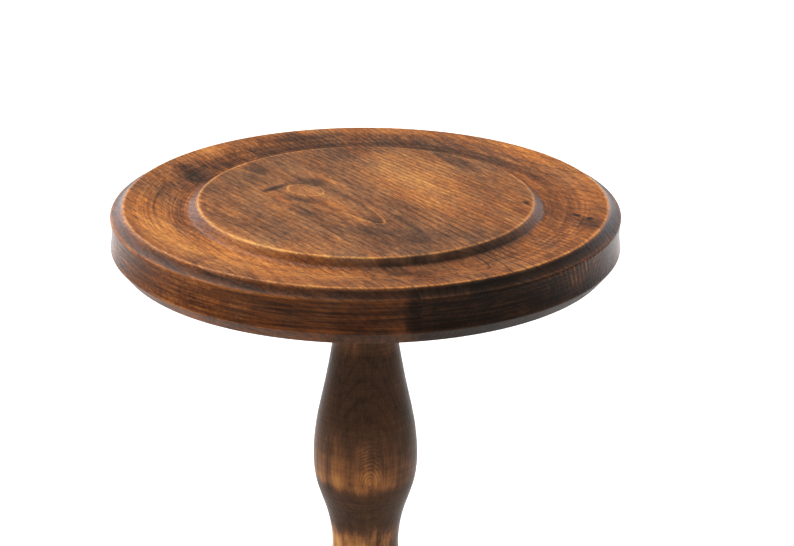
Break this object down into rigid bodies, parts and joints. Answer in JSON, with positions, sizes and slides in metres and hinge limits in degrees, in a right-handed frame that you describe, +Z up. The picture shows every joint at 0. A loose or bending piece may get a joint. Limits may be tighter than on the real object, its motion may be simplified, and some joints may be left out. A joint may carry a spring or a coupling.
{
  "type": "tilt top table",
  "caption": "Small round pedestal table with a dished turned top that tilts upright, a slide bolt, a turned baluster column and a splayed tripod of shaped legs.",
  "frame": {"origin": "on the floor, under the centre of the table, on the column's axis", "axes": "+Z up; the pivot and the boards' grain run along X; the battens run along Y, the pivot is on the +Y side and the slide bolt on the -Y side"},
  "size_m": [0.3198, 0.3198, 0.56],
  "materials": {
    "wood_top": "walnut stain, satin, rubbed edges",
    "wood_column": "walnut stain, satin, streaked",
    "wood_legs": "walnut stain, satin, rubbed edges",
    "wood_joinery": "stained, oiled, unpolished",
    "steel": "dulled plain steel",
    "brass": "aged brass",
    "iron": "blackened wrought iron",
    "felt": "dark felt"
  },
  "bodies": {
    "base": {"column": "wood_column", "tilt_block": "wood_joinery", "tenon_wedge": "wood_joinery", "pivot_pin_left": "steel", "pivot_pin_right": "steel", "pivot_washer_left": "steel", "pivot_washer_right": "steel", "keeper_plate": "brass", "keeper_screws": "brass", "leg_1": "wood_legs", "leg_2": "wood_legs", "leg_3": "wood_legs", "spider_plate": "iron", "spider_screws": "iron", "felt_glide_1": "felt", "felt_glide_2": "felt", "felt_glide_3": "felt"},
    "top": {"top_board_front": "wood_top", "top_board_middle": "wood_top", "top_board_back": "wood_top", "batten_left": "wood_joinery", "batten_right": "wood_joinery", "batten_screws_left": "steel", "batten_screws_right": "steel", "latch_body": "brass", "latch_screws": "brass"},
    "latch_bolt": {"latch_bolt": "brass", "latch_knob": "brass"}
  },
  "joints": [
    {"name": "top_tilt", "type": "hinge", "parent": "base", "child": "top", "pos_m": [0, 0.044, 0.51], "axis": [-1, 0, 0], "range_deg": [0, 90]},
    {"name": "bolt_slide", "type": "slide", "parent": "top", "child": "latch_bolt", "axis": [0, 1, 0], "range_m": [0, 0.0095]}
  ]
}
